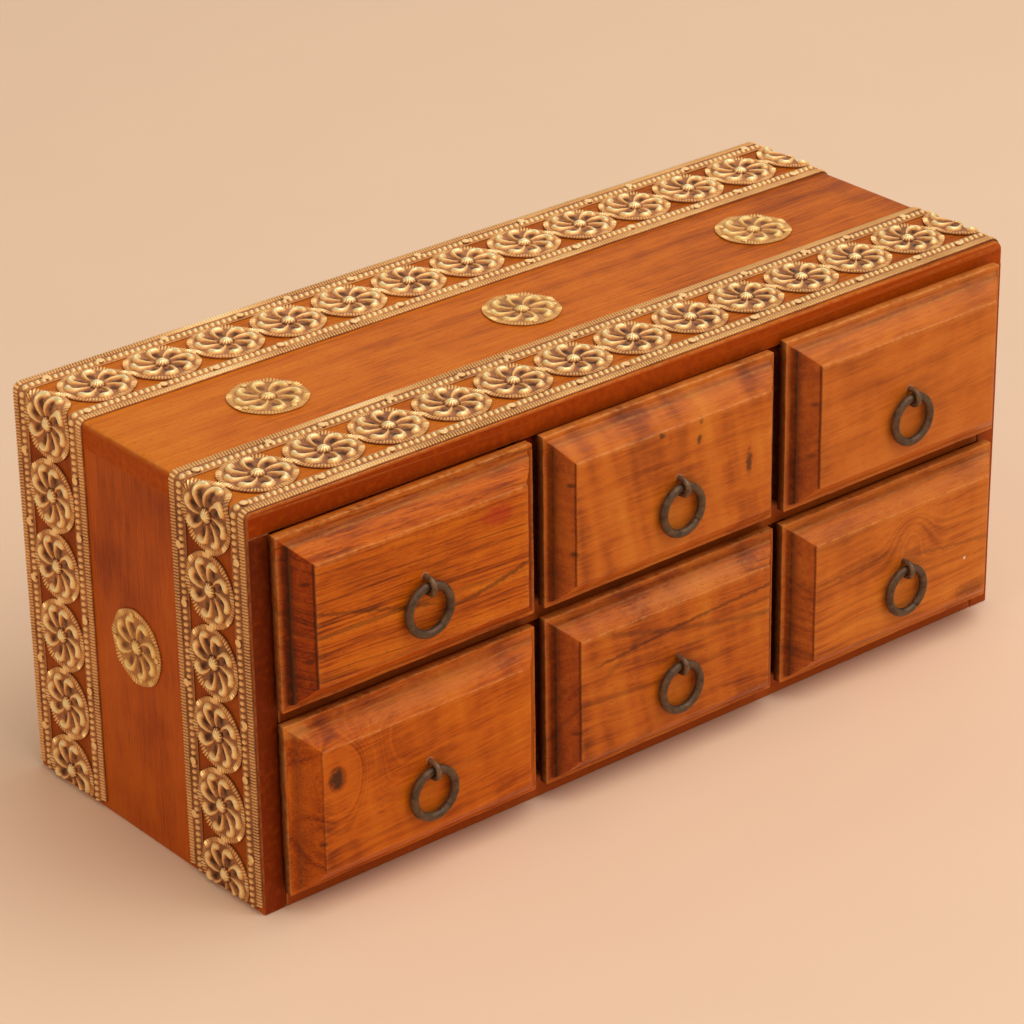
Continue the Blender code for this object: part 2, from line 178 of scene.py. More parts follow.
class Wire:
    # one output socket: sums and products of values add Math nodes
    def __init__(self, tree, out=None):
        self.tree = tree
        self.out = out

    def feed(self, made, sockets):
        for key, value in sockets.items():
            if isinstance(value, Wire):
                self.tree.links.new(value.out, made.inputs[key])
            else:
                made.inputs[key].default_value = value

    def node(self, kind, settings, sockets, output=0):
        made = self.tree.nodes.new(kind)
        for key, value in settings.items():
            setattr(made, key, value)
        self.feed(made, sockets)
        return Wire(self.tree, made.outputs[output])

    def math(self, operation, first, second=0.0):
        return self.node("ShaderNodeMath", {"operation": operation}, {0: first, 1: second})

    def __add__(self, other):
        return self.math("ADD", self, other)

    __radd__ = __add__

    def __sub__(self, other):
        return self.math("SUBTRACT", self, other)

    def __rsub__(self, other):
        return self.math("SUBTRACT", other, self)

    def __mul__(self, other):
        return self.math("MULTIPLY", self, other)

    __rmul__ = __mul__

    def __abs__(self):
        return self.math("ABSOLUTE", self)

    def smooth(self, low, high):
        return self.node("ShaderNodeMapRange", {"interpolation_type": "SMOOTHSTEP"},
                         {"Value": self, "From Min": low, "From Max": high})

    def vector(self, operation, other):
        return self.node("ShaderNodeVectorMath", {"operation": operation}, {0: self, 1: other})

    def stretched(self, *scales):
        return self.vector("MULTIPLY", scales)

    def distance(self, centre, *scales):
        away = self.vector("SUBTRACT", centre).stretched(*scales)
        return self.node("ShaderNodeVectorMath", {"operation": "LENGTH"}, {0: away}, "Value")

    def noise(self, scale, detail=2.0, roughness=0.5):
        return self.node("ShaderNodeTexNoise", {},
                         {"Vector": self, "Scale": scale, "Detail": detail, "Roughness": roughness})

    def lineNoise(self, detail=2.0, roughness=0.5):
        return self.node("ShaderNodeTexNoise", {"noise_dimensions": "1D"},
                         {"W": self, "Scale": 1.0, "Detail": detail, "Roughness": roughness})

    def ramp(self, *stops):
        made = self.node("ShaderNodeValToRGB", {}, {"Fac": self})
        elements = made.out.node.color_ramp.elements
        for element, (place, colour) in zip(elements, (stops[0], stops[-1])):
            element.position, element.color = place, (*colour, 1)
        for place, colour in stops[1:-1]:
            elements.new(place).color = (*colour, 1)
        return made

    def tint(self, under, over, blend="MIX"):
        # this value is how much of the second colour lies over the first
        colours = {k: c if isinstance(c, Wire) else (*c, 1) for k, c in ((6, under), (7, over))}
        settings = {"data_type": "RGBA", "blend_type": blend}
        return self.node("ShaderNodeMix", settings, {0: self, **colours}, 2)

    def mark(self, name):
        return self.node("ShaderNodeAttribute", {"attribute_name": name}, {}, "Fac")

    def place(self, centre=(0, 0, 0)):
        # object coordinates in millimetres from a centre
        here = self.node("ShaderNodeTexCoord", {}, {}, "Object")
        move = {"Scale": (1 / mm,) * 3, "Location": tuple(-c for c in centre)}
        return self.node("ShaderNodeMapping", {}, {"Vector": here, **move})

    def turned(self, degrees):
        return self.node("ShaderNodeMapping", {}, {"Vector": self, "Rotation": tuple(np.radians(degrees))})

    def part(self, axis):
        return self.node("ShaderNodeSeparateXYZ", {}, {0: self}, axis)


def newFinish(name):
    made = bpy.data.materials.new(name)
    made.use_nodes = True
    return made, Wire(made.node_tree), made.node_tree.nodes["Principled BSDF"]


def wireUp(w, shader, links, height, depth, strength=0.3):
    bump = w.node("ShaderNodeBump", {}, {"Strength": strength, "Distance": depth * mm, "Height": height})
    w.feed(shader, {**links, "Normal": bump})


# Wood: growth rings about a pith line, bent by slow noise and knots, with fibres, pores and single marks

woodPlain = dict(
    centre=(0, 0, 0), turn=(0, 0, 0), pith=(30, 60), ring=6, line=1.1, warp=9, warpLength=90, warpWidth=28,
    dark=(0.06, 0.013, 0.002), mid=(0.58, 0.118, 0.006), edge=None, stained=None, broad=0.6, fine=0.5,
    fibre=0.5, cloud=0.45, flame=0, streak=0.3, pores=0.45, lean=(0, 0), knots=(), lines=(), spots=(),
    gloss=0.44, sheen=0.2)
# deep and pale multiply the middle colour
# the third and fifth tints also paint shade in dark gaps and creases, and the last also paints highlights
woodTints = Values(
    deep=(0.6, 0.49, 0.42), pale=(1.22, 1.6, 2.2), stain=(0.12, 0.016, 0.003), endGrain=(0.57, 0.36, 0.2),
    grime=(0.022, 0.004, 0.001), wear=(0.8, 0.32, 0.08))
# how fast each layer of noise changes per millimetre, along the grain first
woodScale = Values(
    patch=(0.02, 0.13, 0.13), fibre=(0.05, 1, 1), pores=(0.13, 1, 1), flame=(0.13, 0.05, 0.025))
lineReach, lineFade = 30, 5  # how far out a dark line's outer heights lie, and how softly it ends


def singleMarks(w, look, colour, local, bend, fibre, ragged):
    # lines pass three heights, left of the centre, at it and right of it, and spots are soft ellipses;
    # both stay off the block behind a drawer front
    x, z, face = local.part("X"), local.part("Z"), w.mark("face")
    for startX, endX, low, middle, high, width, strength in look["lines"]:
        slope, curve = (high - low) / (2 * lineReach), (high + low - 2 * middle) / (2 * lineReach ** 2)
        off = abs(z - (middle + x * slope + x * x * curve) + (ragged - 0.5) * 1.6 + (bend - 0.5) * 3)
        window = x.smooth(startX - lineFade, startX + lineFade)
        window *= 1 - x.smooth(endX - lineFade, endX + lineFade)
        body = (1 - off.smooth(0.1 * width, width)) * window * (0.45 + 1.1 * fibre) * face * strength
        colour = body.tint(colour, look["dark"])
    for spotX, spotZ, halfX, halfZ, strength, tint in look["spots"]:
        away = local.distance((spotX, 0, spotZ), 1 / halfX, 0, 1 / halfZ)
        away += (ragged - 0.5) * 1.3
        colour = ((1 - away.smooth(0.3, 1.1)) * face * strength).tint(colour, tint)
    return colour


def woodFinish(name, **changes):
    look = {**woodPlain, **changes}
    made, w, shader = newFinish(name)
    local = w.place(look["centre"])
    grain = local.turned(look["turn"])
    across = 1 / look["warpWidth"]
    bend = grain.stretched(1 / look["warpLength"], across, across).noise(1, 3)
    ring = grain.distance((0, *look["pith"]), 0, 1, 1)
    ring += (bend - 0.5) * look["warp"]
    for knotX, knotZ, spread, push in look["knots"]:
        away = local.distance((knotX, 0, knotZ), 1, 0, 0.85)
        ring += w.math("EXPONENT", away * away * (-1 / spread ** 2)) * push
    broad = (ring * (1 / look["ring"])).lineNoise()
    fine = (ring * (1 / look["line"])).lineNoise(3, 0.6)
    fibre = grain.stretched(*woodScale.fibre).noise(1.6, 4, 0.65)
    pores = grain.stretched(*woodScale.pores).noise(4.2, 1).smooth(0.6, 0.74) * (0.35 + broad)
    cloud = local.noise(0.05, 3, 0.55)
    flame = local.turned((0, 12, 0)).stretched(*woodScale.flame).noise(1, 2, 0.4)
    ragged = local.noise(0.55, 3)
    tone = 0.5
    for key, layer in dict(broad=broad, fine=fine, fibre=fibre, cloud=cloud, flame=flame).items():
        tone += (layer - 0.5) * look[key]
    for axis, rate in zip("XZ", look["lean"]):
        tone = tone + local.part(axis) * rate if rate else tone
    deep, pale = (tuple(np.multiply(look["mid"], tint)) for tint in (woodTints.deep, woodTints.pale))
    colour = tone.ramp((0.02, look["dark"]), (0.3, deep), (0.52, look["mid"]), (0.85, pale))
    patch = grain.stretched(*woodScale.patch).noise(1).smooth(0.44, 0.6)
    streak = (ring * (0.55 / look["line"]) + 31).lineNoise().smooth(0.55, 0.66)
    colour = (streak * patch * look["streak"]).tint(colour, look["dark"])
    colour = (pores * look["pores"]).tint(colour, look["dark"])
    colour = singleMarks(w, look, colour, local, bend, fibre, ragged)
    if look["stained"] is not None:
        # painted shade: the drawer sides' front ends, seen only in the dark gaps beside the drawers, darken
        # as far back as this Y
        back = local.part("Y") + (ragged - 0.5) * 4
        stained = 1 - back.smooth(look["stained"] - 1.5, look["stained"] + 1.5)
        colour = stained.tint(colour, woodTints.stain)
    grime, wear = w.mark("grime"), w.mark("wear")
    colour = w.mark("even").tint(colour, look["edge"] or look["mid"])
    blotch = 0.15 + 0.5 * cloud + 1.2 * ragged
    colour = (w.mark("endGrain") * blotch).tint(colour, woodTints.endGrain, "MULTIPLY")
    # painted shade, with some dirt, in the drawer fronts' creases and lip sides, on the carcass front and
    # under the straps
    colour = (grime * (0.5 + 0.9 * ragged)).tint(colour, woodTints.grime)
    # wear on rubbed edges, and painted highlights along the drawer fronts' lip and field edges
    colour = (wear * ragged.smooth(0.22, 0.72) * 0.6).tint(colour, woodTints.wear)
    rough = look["gloss"] + (fibre - 0.5) * 0.2 + pores * 0.12 + grime * 0.25
    wireUp(w, shader, {"Base Color": colour, "Roughness": rough, "Specular IOR Level": look["sheen"]},
           fibre * 0.6 - pores * 0.6 + ragged * 0.25, 0.16)
    return made


def brassFinish(name, hollow, ground, middle, crest):
    # old brass: dirt in the hollows, brown ground, rubbed gold on the crests, with a patchy film
    made, w, shader = newFinish(name)
    here = w.place()
    film, grit = here.noise(0.11, 3), here.noise(1.5)
    level = w.mark("relief") + (film - 0.5) * 0.3 + (grit - 0.5) * 0.3
    colour = level.ramp((0.02, hollow), (0.24, ground), (0.55, middle), (0.95, crest))
    metal = 0.05 + 0.35 * level.smooth(0.4, 0.95)
    rough = 0.6 - 0.36 * level.smooth(0.3, 0.95) + (grit - 0.5) * 0.16
    wireUp(w, shader, {"Base Color": colour, "Metallic": metal, "Roughness": rough,
                       "Specular IOR Level": 0.3}, grit, 0.07)
    return made


def ironFinish(name, deep, pale, gloss):
    # forged wire with a dull brown oxide
    made, w, shader = newFinish(name)
    here = w.place()
    rust, pits = here.noise(0.5, 4, 0.6), here.noise(2.6)
    colour = rust.ramp((0.32, deep), (0.7, pale))
    metal, rough = 0.38 + (rust - 0.5) * 0.5, gloss + (pits - 0.5) * 0.25
    wireUp(w, shader, {"Base Color": colour, "Metallic": metal, "Roughness": rough},
           pits + rust * 0.6, 0.1, 0.5)
    return made


topWood = woodFinish(
    "topWood", pith=(75, 85), ring=5, line=1.3, warp=10, warpLength=150, warpWidth=45, broad=0.24,
    fine=0.18, mid=(0.58, 0.131, 0.0075), edge=(0.66, 0.11, 0.004), fibre=0.7, streak=0.03, pores=0.42,
    lean=(-0.0011, 0), sheen=0.05)
# its lean darkens the side towards the top: painted shade that cancels the brighter light on its upper part
sideWood = woodFinish(
    "sideWood", turn=(0, 90, 0), pith=(-10, -40), ring=8, line=2, warp=14, warpLength=120, broad=0.35,
    fine=0.2, mid=(0.49, 0.088, 0.004), streak=0.06, pores=0.25, cloud=0.5, lean=(0, -0.0013),
    centre=(0, 0, 55), sheen=0.1)
railWood = woodFinish("railWood", pith=(20, 45), ring=5, mid=(0.54, 0.108, 0.006), streak=0.2)
# darker and redder than railWood: painted shade for the dividers' fronts, seen only in the dark gaps
# between the drawers
shadedDividerWood = woodFinish(
    "shadedDividerWood", turn=(0, 90, 0), pith=(20, 45), ring=5, mid=(0.21, 0.011, 0.001),
    dark=(0.05, 0.004, 0.001), streak=0.2, gloss=0.6, sheen=0.05)
bareLook = dict(turn=(0, 0, 90), pith=(20, 60), ring=5, mid=(0.36, 0.135, 0.042), streak=0.25, gloss=0.62)
bareWood = woodFinish("bareWood", **bareLook)
# the drawer sides, their front ends darkened by painted shade
plankWood = woodFinish("plankWood", **bareLook, stained=-47)
backWood = woodFinish(
    "backWood", pith=(5, 130), ring=7, line=1.6, warp=16, warpLength=130, warpWidth=45,
    mid=(0.4, 0.15, 0.046), streak=0.2, gloss=0.62)
strapBrass = brassFinish(
    "strapBrass", (0.08, 0.028, 0.011), (0.38, 0.142, 0.05), (0.9, 0.455, 0.135), (1, 0.78, 0.38))
rearBrass = brassFinish(
    "rearBrass", (0.11, 0.039, 0.015), (0.47, 0.18, 0.062), (0.99, 0.515, 0.16), (1, 0.83, 0.43))
discBrass = brassFinish(
    "discBrass", (0.2, 0.075, 0.022), (0.53, 0.225, 0.067), (0.85, 0.455, 0.125), (1, 0.74, 0.29))
ringIron = ironFinish("ringIron", (0.048, 0.023, 0.01), (0.165, 0.088, 0.04), 0.48)
eyeIron = ironFinish("eyeIron", (0.065, 0.032, 0.015), (0.26, 0.145, 0.07), 0.4)
print("finishes ready")


# Carcass boards

boardShape = Values(
    edge=0.45, topEdge=0.7, topSeam=0.1, lengthSteps=40, perArc=6, perSide=18, wave=0.05, strapMiddle=33.95,
    strapHalf=12, strapDirt=0.32, topStrapShare=0.4, rimBand=0.3, rimEven=0.7, endBand=0.5, endEven=0.6,
    endShade=0.62, endDirt=0.08)


def boardMarks(grid, columns, inset, axis, edge, frontDirtAndShade):
    # rubbed edges; dirt and painted shade on the front, heavier towards the left and the top;
    # painted shade on the wood under the straps; a little dirt and darker end grain on the ends;
    # darker end grain on the rims, more towards the left
    b = boardShape
    x, y, z = np.moveaxis(grid, -1, 0)
    arris = np.maximum(abs(2 * columns[2] * columns[3]), (inset > 0) * (inset < edge * 0.95))
    front = y < b.rimBand - halfDeep
    rim = front + (y > halfDeep - b.rimBand)
    ends = (axis == 1) * (abs(x) > halfLong - b.endBand)
    under = (abs(abs(y) - b.strapMiddle) < b.strapHalf) * (axis > 0)
    across = x / chest.length
    grime = frontDirtAndShade * front * (0.35 + 0.65 * z / chestTop) * (0.6 - 0.8 * across)
    grime += b.strapDirt * under * (b.topStrapShare if axis == 1 else 1) + b.endDirt * ends
    shade = rim * (0.8 - 0.4 * across) * (0.5 if axis == 0 else 1)
    return dict(wear=0.5 * arris, grime=grime, even=np.maximum(b.rimEven * rim, b.endEven * ends),
                endGrain=np.maximum(shade, b.endShade * ends))


def boardShell(low, high, axis, edge, corners, seed, frontDirtAndShade=0):
    # a rectangle with round corners carried along one axis, drawn in by a quarter circle at both ends
    low, high = np.array(low, float), np.array(high, float)
    first, second = (axis + 1) % 3, (axis + 2) % 3
    middle, half = (low + high) / 2, (high - low) / 2
    steps = boardShape.lengthSteps
    turn = np.linspace(0, np.pi / 2, 5)
    draw, lead = edge * (1 - np.sin(turn)), edge * (1 - np.cos(turn))
    inset = join([draw, np.zeros(steps - 1), draw[::-1]])[:, None]
    straight = np.linspace(low[axis] + edge, high[axis] - edge, steps + 1)[1:-1]
    place = join([low[axis] + lead, straight, high[axis] - lead[::-1]])[:, None]
    columns = rectangleColumns(boardShape.perArc, boardShape.perSide)
    radius = np.interp(columns[4], np.arange(5), [*corners, corners[0]])
    radius = np.maximum(radius - inset, 0.02)
    u, v = rectangleRows(columns, half[first] - inset, half[second] - inset, radius)
    uneven = boardShape.wave * ripple(place * 0.05, u * 0.09 + v * 0.07, seed)
    grid = np.zeros((*u.shape, 3))
    grid[..., first] = middle[first] + u + columns[2] * uneven
    grid[..., second] = middle[second] + v + columns[3] * uneven
    grid[..., axis] = place
    return closedShell(grid, **boardMarks(grid, columns, inset, axis, edge, frontDirtAndShade))


def addBoards():
    b, edge, seam = boardShape, boardShape.edge, chest.seam
    under, inside = chestTop - chest.topBoard, halfLong - chest.sideBoard
    inner, rear = inside - seam, halfDeep - chest.backBoard - seam
    floor = chest.bottomBoard
    shelf = floor + chest.openingHeight
    # left, right, back, low and high ends, the axis that the shape runs along, finish, slot, and dirt with
    # painted shade on the front
    boards = dict(
        top_board=(-halfLong, halfLong, halfDeep, under, chestTop, 1, topWood, "top_wood", 0.25),
        left_side_board=(-halfLong, -inside, halfDeep, 0, under + edge, 2, sideWood, "side_wood", 0.62),
        right_side_board=(inside, halfLong, halfDeep, 0, under + edge, 2, sideWood, "side_wood", 0.62),
        bottom_board=(-inner, inner, rear, 0, floor, 0, railWood, "front_wood", 0.05),
        shelf=(-inner, inner, rear, shelf, shelf + chest.shelf, 0, railWood, "front_wood", 0.45))
    for seed, (node, board) in enumerate(boards.items(), 1):
        left, right, back, low, high, axis, finish, slot, frontDirtAndShade = board
        ease, corners = edge, (edge,) * 4
        if node == "top_board":
            ease, corners = b.topEdge, (rightBend, b.topSeam, b.topSeam, leftBend)
        shell = boardShell((left, -halfDeep, low), (right, back, high), axis, ease, corners, seed, frontDirtAndShade)
        makePiece(node + "_wood", shell, finish, "carcass", [node])
    dress("back_panel", backWood)
    for row in rowNames:
        for side in ("left", "right"):
            dress(f"{row}_{side}_divider", shadedDividerWood)


addBoards()
print("carcass boards made")


# Drawer fronts

frontShape = Values(
    overlapSide=1.3, overlapHeight=1.1, back=-50.9, lipThick=2.6, lipWidth=1.7, quirkWidth=0.6,
    quirkRise=1.6, slopeWidth=4.3, slopeRise=3.9, bulge=0.35, stepWidth=0.2, stepRise=0.8, corner=0.35,
    arris=0.22, waves=0.07, wander=0.1, tongueDepth=6, tongueInset=5.1, tongueEdge=0.25,
    perArc=4, perSide=36, rings=12)
fieldInset = frontShape.lipWidth + frontShape.quirkWidth + frontShape.slopeWidth + frontShape.stepWidth
fieldRise = frontShape.lipThick + frontShape.quirkRise + frontShape.slopeRise + frontShape.stepRise
fieldPlane = frontShape.back - fieldRise
tongueBack = frontShape.back + frontShape.tongueDepth


def softPath(points, radius, steps=4):
    # a path whose inner corners are replaced by short parabolas that start and end a radius away
    points = np.array(points, float)
    k = np.linspace(0, 1, steps)[:, None]
    parts = [points[:1]]
    for before, here, after in zip(points, points[1:], points[2:]):
        enter = here + (before - here) * min(0.45, radius / np.linalg.norm(before - here))
        leave = here + (after - here) * min(0.45, radius / np.linalg.norm(after - here))
        parts.append((1 - k) ** 2 * enter + 2 * k * (1 - k) * here + k ** 2 * leave)
    return join(parts + [points[-1:]])


def frontProfile(crisp):
    # inset from the edge and rise from the back: lip, quirk, rounded slope, small step up to the field
    f = frontShape
    lip, quirk, step = f.lipWidth * (0.3 + 0.7 * crisp), f.quirkRise * crisp, f.stepRise * crisp
    footIn, footUp = lip + f.quirkWidth, f.lipThick + quirk
    wide, rise = fieldInset - f.stepWidth - footIn, fieldRise - step - footUp
    bulge = f.bulge + 0.5 * (1 - crisp)
    s = np.linspace(0, 1, 10)
    slope = zip(footIn + wide * s, footUp + rise * s + bulge * np.sin(np.pi * s))
    path = [(1.2, 0), (0, 0), (0, f.lipThick), (lip, f.lipThick), *slope, (fieldInset, fieldRise),
            (fieldInset + 1.5, fieldRise)]
    return softPath(path, f.arris * (2 - crisp))


def frontMarks(columns, insets, rises, make):
    # painted shade, with some dirt, in the quirk, up the side slopes beside it, under the left step and on
    # the lip's sides; wear and a painted highlight on the lip's edge, a painted highlight on the field's
    # edge, strongest on top, and wear at the slopes' feet; end grain on the slopes across the grain
    f = frontShape
    onSide, onLeft, onTop = abs(columns[2]), unit(-columns[2]), unit(columns[3])
    past = insets - f.lipWidth - 0.4
    quirk = bell(past, 0, 0.7) * (rises > f.lipThick - 0.1)
    hollow = np.exp(-np.maximum(past, 0) / 1.8) * (past > 0) * onSide
    stepLine = bell(insets, fieldInset - 0.2, 0.16)
    lipSide = unit((f.lipThick - rises) / 0.4) * (insets < 2) * (0.3 + 0.65 * onSide)
    grime = 0.75 * quirk * (1 - 0.35 * onTop) + 0.75 * stepLine * onLeft + 0.34 * hollow
    grime = make.crisp * grime + lipSide
    slopeFoot = f.lipWidth + f.quirkWidth + 0.15
    wear = bell(insets, fieldInset + 0.1, 0.2) * (0.35 + 0.65 * onTop)
    wear += bell(insets, 0.05, 0.25) * (rises > 2) * (0.7 + 0.3 * onTop)
    wear += bell(insets, slopeFoot, 0.22) * (0.5 - 0.38 * onSide)
    ends = make.shade * (onSide > 0.75) * (insets < fieldInset - 0.05) * (rises > 0.1)
    ends = ends * np.where(insets < 0.7 * f.lipWidth, 0.5, 1)
    grime, wear = unit(grime), unit(wear)
    return dict(grime=grime, wear=wear, endGrain=ends, even=0.2 * ends, face=1)


def frontShell(middleX, middleZ, make, seed):
    # the profile carried round a rectangle with mitred corners, then rings that shrink to its middle;
    # the moulding's four sides differ a little, so each row has its own half sizes and middle
    f = frontShape
    columns = rectangleColumns(f.perArc, f.perSide)
    inset, rise = np.hsplit(frontProfile(make.crisp), 2)
    share = unit(inset / fieldInset)
    left, right, low, high = ((1 - share) * a + share * b for a, b in zip(make.lip, make.field))
    halfX = chest.openingWidth / 2 + f.overlapSide - inset + (left + right) / 2
    halfZ = chest.openingHeight / 2 + f.overlapHeight - inset + (low + high) / 2
    shrink = np.linspace(1, 0.06, f.rings)[1:, None]

    def inward(rows, more):
        return join([rows, more + 0 * shrink])
    halfX, halfZ, radius = (inward(a, a[-1] * shrink) for a in (halfX, halfZ, 0 * inset + f.corner))
    moveX, moveZ = (inward(a, a[-1]) for a in ((right - left) / 2, (high - low) / 2))
    rises, insets = inward(rise, fieldRise), inward(inset, 30)
    x, z = rectangleRows(columns, halfX, halfZ, radius)
    x, z = x + moveX, z + moveZ
    moulded = unit(rises - 0.5)
    uneven = f.waves * ripple(x * 0.16, z * 0.19, seed) * moulded
    wander = f.wander * ripple(x * 0.3 + 2, z * 0.27, seed + 5) * moulded
    grid = np.stack([middleX + x - wander * columns[2], f.back - rises - uneven + 0 * x,
                     middleZ + z - wander * columns[3]], -1)
    return closedShell(grid, **frontMarks(columns, insets, rises, make))


def tongueShell(middleX, middleZ):
    # the plain, unmarked block behind the lip that the drawer's sides lap
    edge, halfZ = frontShape.tongueEdge, chest.openingHeight / 2
    halfX = chest.openingWidth / 2 - frontShape.tongueInset
    low = (middleX - halfX, frontShape.back - 1, middleZ - halfZ + chest.seam)
    high = (middleX + halfX, tongueBack, middleZ + halfZ - 1)
    return (*boardShell(low, high, 1, edge, (edge,) * 4, 3)[:3], {})


# a line is from X, to X, three heights, width, strength; a spot is X, Z, half sizes, strength, colour;
# a knot is X, Z, spread and how far it pushes the rings
redStain = (0.42, 0.022, 0.008)
darkPlug = (0.035, 0.012, 0.005)
knotHeart = (0.06, 0.02, 0.006)
paleChip = (0.85, 0.72, 0.6)
# pale: worn wood, and a painted highlight along the top slopes
wearAndSheen = (0.76, 0.29, 0.06)
eyeMark = (0, 2.8, 1.4, 1.1, 0.5, (0.7, 0.38, 0.25))
drawerLooks = dict(
    upper_left=dict(
        turn=(0, -2, 0), pith=(-20, 52), ring=4.5, line=0.8, warp=6, warpWidth=22, streak=0.45, pores=0.55,
        fine=0.6, fibre=1.1, cloud=0.7, mid=(0.54, 0.107, 0.003), dark=(0.05, 0.016, 0.003), sheen=0.14,
        lines=((4, 36, -4, -8.5, -5, 1.1, 0.6), (-36, 4, 2.4, -5, -13, 0.8, 0.5)),
        spots=((23, 11.7, 6, 3.6, 0.6, redStain), (-34.3, 11.2, 1.4, 0.9, 0.75, darkPlug),
               (-34.1, -9.6, 1.5, 0.9, 0.75, darkPlug), eyeMark)),
    lower_left=dict(
        turn=(0, 4, 0), pith=(-26, 14), ring=7, line=1.5, warp=8, warpWidth=40, streak=0.15, pores=0.3,
        cloud=0.8, flame=0.5, broad=0.4, fine=0.4, fibre=0.8, mid=(0.55, 0.11, 0.004), sheen=0.14,
        knots=((-28.6, 8.4, 10, 26),),
        spots=((-28.6, 8.2, 3, 3.8, 0.95, knotHeart), (-33.1, -8.9, 1.2, 0.9, 0.75, darkPlug),
               # the long pale spot along the top slope is a painted highlight; the small one at the
               # top-left corner is wear
               (-37, 22.5, 5.5, 2.6, 0.5, wearAndSheen), (2, 20, 30, 2.8, 0.2, wearAndSheen), eyeMark)),
    upper_middle=dict(
        pith=(-24, 60), ring=9, line=1.7, warp=12, warpWidth=30, streak=0.1, pores=0.3, flame=0.95,
        broad=0.2, fine=0.25, fibre=0.55, cloud=0.75, mid=(0.565, 0.13, 0.008),
        spots=((-5.5, 16, 1.7, 1.1, 0.8, darkPlug), (7.1, 11.1, 1, 1.8, 0.7, darkPlug),
               (7.6, 16.3, 0.8, 1.4, 0.5, darkPlug), (24.4, -0.6, 1.4, 4.2, 0.75, darkPlug),
               (-34.7, 11, 1.2, 0.9, 0.75, darkPlug), (-34.3, -8.1, 1.2, 1, 0.75, darkPlug), eyeMark)),
    lower_middle=dict(
        turn=(0, -3, 0), pith=(-28, -30), ring=6, line=1.2, warp=10, warpWidth=26, streak=0.3, pores=0.5,
        flame=0.85, cloud=0.75, broad=0.4, fine=0.4, fibre=0.68, mid=(0.515, 0.11, 0.005),
        lines=((-28, 36, 8.6, 11.2, 12.6, 0.8, 0.6), (-24, 34, 19, 10.6, 4.8, 1.4, 0.4),
               (-27, -10, 0.9, 20.7, 40, 1.7, 0.22), (-22, -6, -24, -11, 2, 1.6, 0.16)),
        # the long pale spot along the top slope is a painted highlight
        spots=((-33.6, -8.6, 1.6, 0.8, 0.65, darkPlug), (7, 20.2, 27, 2.6, 0.3, wearAndSheen))),
    upper_right=dict(
        turn=(0, 3, 0), pith=(-20, -46), ring=8, line=1.4, warpWidth=34, streak=0.1, pores=0.25, cloud=0.7,
        broad=0.3, fine=0.15, fibre=0.42, mid=(0.59, 0.145, 0.012),
        spots=((-33.2, 7.5, 1.3, 0.9, 0.6, darkPlug), (-33.7, -7.3, 1.3, 0.9, 0.5, darkPlug), eyeMark)),
    lower_right=dict(
        turn=(0, 2, 0), pith=(-22, 36), ring=7, line=1.4, warp=12, warpWidth=24, streak=0.15, pores=0.3,
        cloud=0.8, broad=0.5, fine=0.4, fibre=0.55, mid=(0.595, 0.147, 0.011), knots=((3, 9, 7, 9),),
        lines=((-34, -4, 5, 7, 9.5, 0.9, 0.4), (4, 38, 9, 3.4, -0.4, 0.9, 0.35)),
        spots=((24.1, -4.7, 0.55, 0.55, 0.9, paleChip), (27, -15, 8, 3, 0.35, darkPlug),
               (-35.6, 6.3, 1.3, 0.9, 0.4, darkPlug), (-12, -18.4, 11, 1.6, 0.3, darkPlug))))

# how far the hand-cut lip and field stand out past the plan (left, right, low, high), how crisp the
# moulding is, and how dark its slopes across the grain are
drawerMakes = dict(
    upper_left=Values(lip=(0, 0, 0, -0.4), field=(0, 0, 0, -0.6), crisp=1, shade=1),
    lower_left=Values(lip=(0, 0, 0, 0), field=(0, 0, 0, 0), crisp=0.4, shade=0.4),
    upper_middle=Values(lip=(0, -0.8, 0, 0), field=(1.2, -0.3, 0, 0), crisp=0.75, shade=0.55),
    lower_middle=Values(lip=(0, 0, 0, 0.4), field=(0, 0, 0, 1), crisp=0.8, shade=0.7),
    upper_right=Values(lip=(-0.2, 0.2, 0, 1.3), field=(-0.6, 0, 0, 1.3), crisp=0.85, shade=0.7),
    lower_right=Values(lip=(0, 0, 0, -0.2), field=(0, 0, 0, 0.7), crisp=0.7, shade=0.65))


def drawerPlaces():
    # every drawer's name and its opening's middle
    for r, row in enumerate(rowNames):
        base = chest.bottomBoard + r * (chest.openingHeight + chest.shelf)
        for c, column in enumerate(columnNames, -1):
            yield f"{row}_{column}", c * columnPitch, base + chest.openingHeight / 2


def addFronts():
    planks = dict(left_side=plankWood, right_side=plankWood, back=backWood, bottom=bareWood)
    for seed, (name, middleX, middleZ) in enumerate(drawerPlaces(), 1):
        node = name + "_drawer"
        finish = woodFinish(name + "FrontWood", centre=(middleX, fieldPlane, middleZ), **drawerLooks[name])
        slab = frontShell(middleX, middleZ, drawerMakes[name], seed)
        shell = joinShells([slab, tongueShell(middleX, middleZ)])
        makePiece(node + "_front_wood", shell, finish, node, [node + "_front"])
        for inside, plank in planks.items():
            dress(f"{node}_{inside}", plank)


addFronts()
print("drawer fronts made")


# Ring pulls; a seam is where the ends of the ring's wire meet, in degrees from its right

pullShape = Values(
    eyeUp=0.5, eyeWire=1.2, eyeThick=1.55, legLength=6, eyeBend=1.2, ringOut=15.2, ringWire=2.3, play=0.3,
    fieldGap=0.45, hammered=0.022, notchDepth=0.22, notchWidth=0.28, ringSteps=96, ringSides=20,
    eyeSides=16)
ringSeams = dict(upper_middle=-42, lower_middle=200, lower_right=-60)


